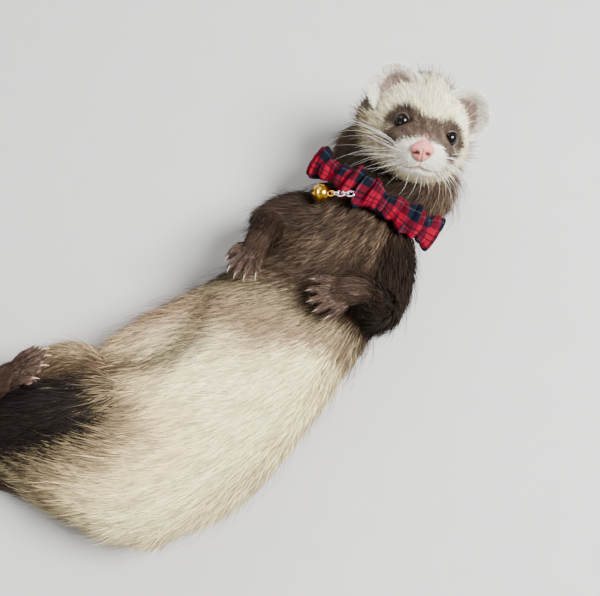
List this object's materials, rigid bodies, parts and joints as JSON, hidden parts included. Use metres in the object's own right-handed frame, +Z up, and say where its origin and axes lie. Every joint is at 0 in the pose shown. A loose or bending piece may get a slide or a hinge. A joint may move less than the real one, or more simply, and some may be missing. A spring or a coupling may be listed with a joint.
{
  "type": "ferret lying on its back in a cloth collar",
  "caption": "A life-size sable ferret that lies on its back, belly up and head raised, with a gathered plaid cloth collar and a small round bell on a short chain.",
  "frame": {"origin": "middle of the bottom of the whole box, on the floor under the animal's back", "axes": "+Y from the tail towards the head, +Z up with the belly on top, +X towards the ferret's own left side"},
  "size_m": [0.1834, 0.375, 0.0845],
  "materials": {
    "fur_cream": "soft dense fur",
    "fur_sable": "soft dense fur",
    "fur_tan": "soft dense fur",
    "skin_pink": "short velvety fur over skin",
    "eye_black": "wet gloss",
    "cloth_plaid": "woven cotton, matt",
    "bell_gold": "polished",
    "chain_silver": "bright plated"
  },
  "bodies": {
    "root": {"head": "fur_cream", "ear_left": "skin_pink", "ear_right": "skin_pink", "eye_left": "eye_black", "eye_right": "eye_black", "neck": "fur_sable", "chest": "fur_sable", "belly": "fur_cream", "rump": "fur_tan", "tail": "fur_sable", "foreleg_left": "fur_sable", "foreleg_right": "fur_sable", "forepaw_left": "fur_sable", "forepaw_right": "fur_sable", "hindleg_left": "fur_sable", "hindleg_right": "fur_sable", "hindpaw_left": "fur_sable", "hindpaw_right": "fur_sable", "collar": "cloth_plaid", "bell": "bell_gold", "chain_link_1": "chain_silver", "chain_link_2": "chain_silver", "chain_link_3": "chain_silver", "chain_link_4": "chain_silver"}
  },
  "joints": []
}
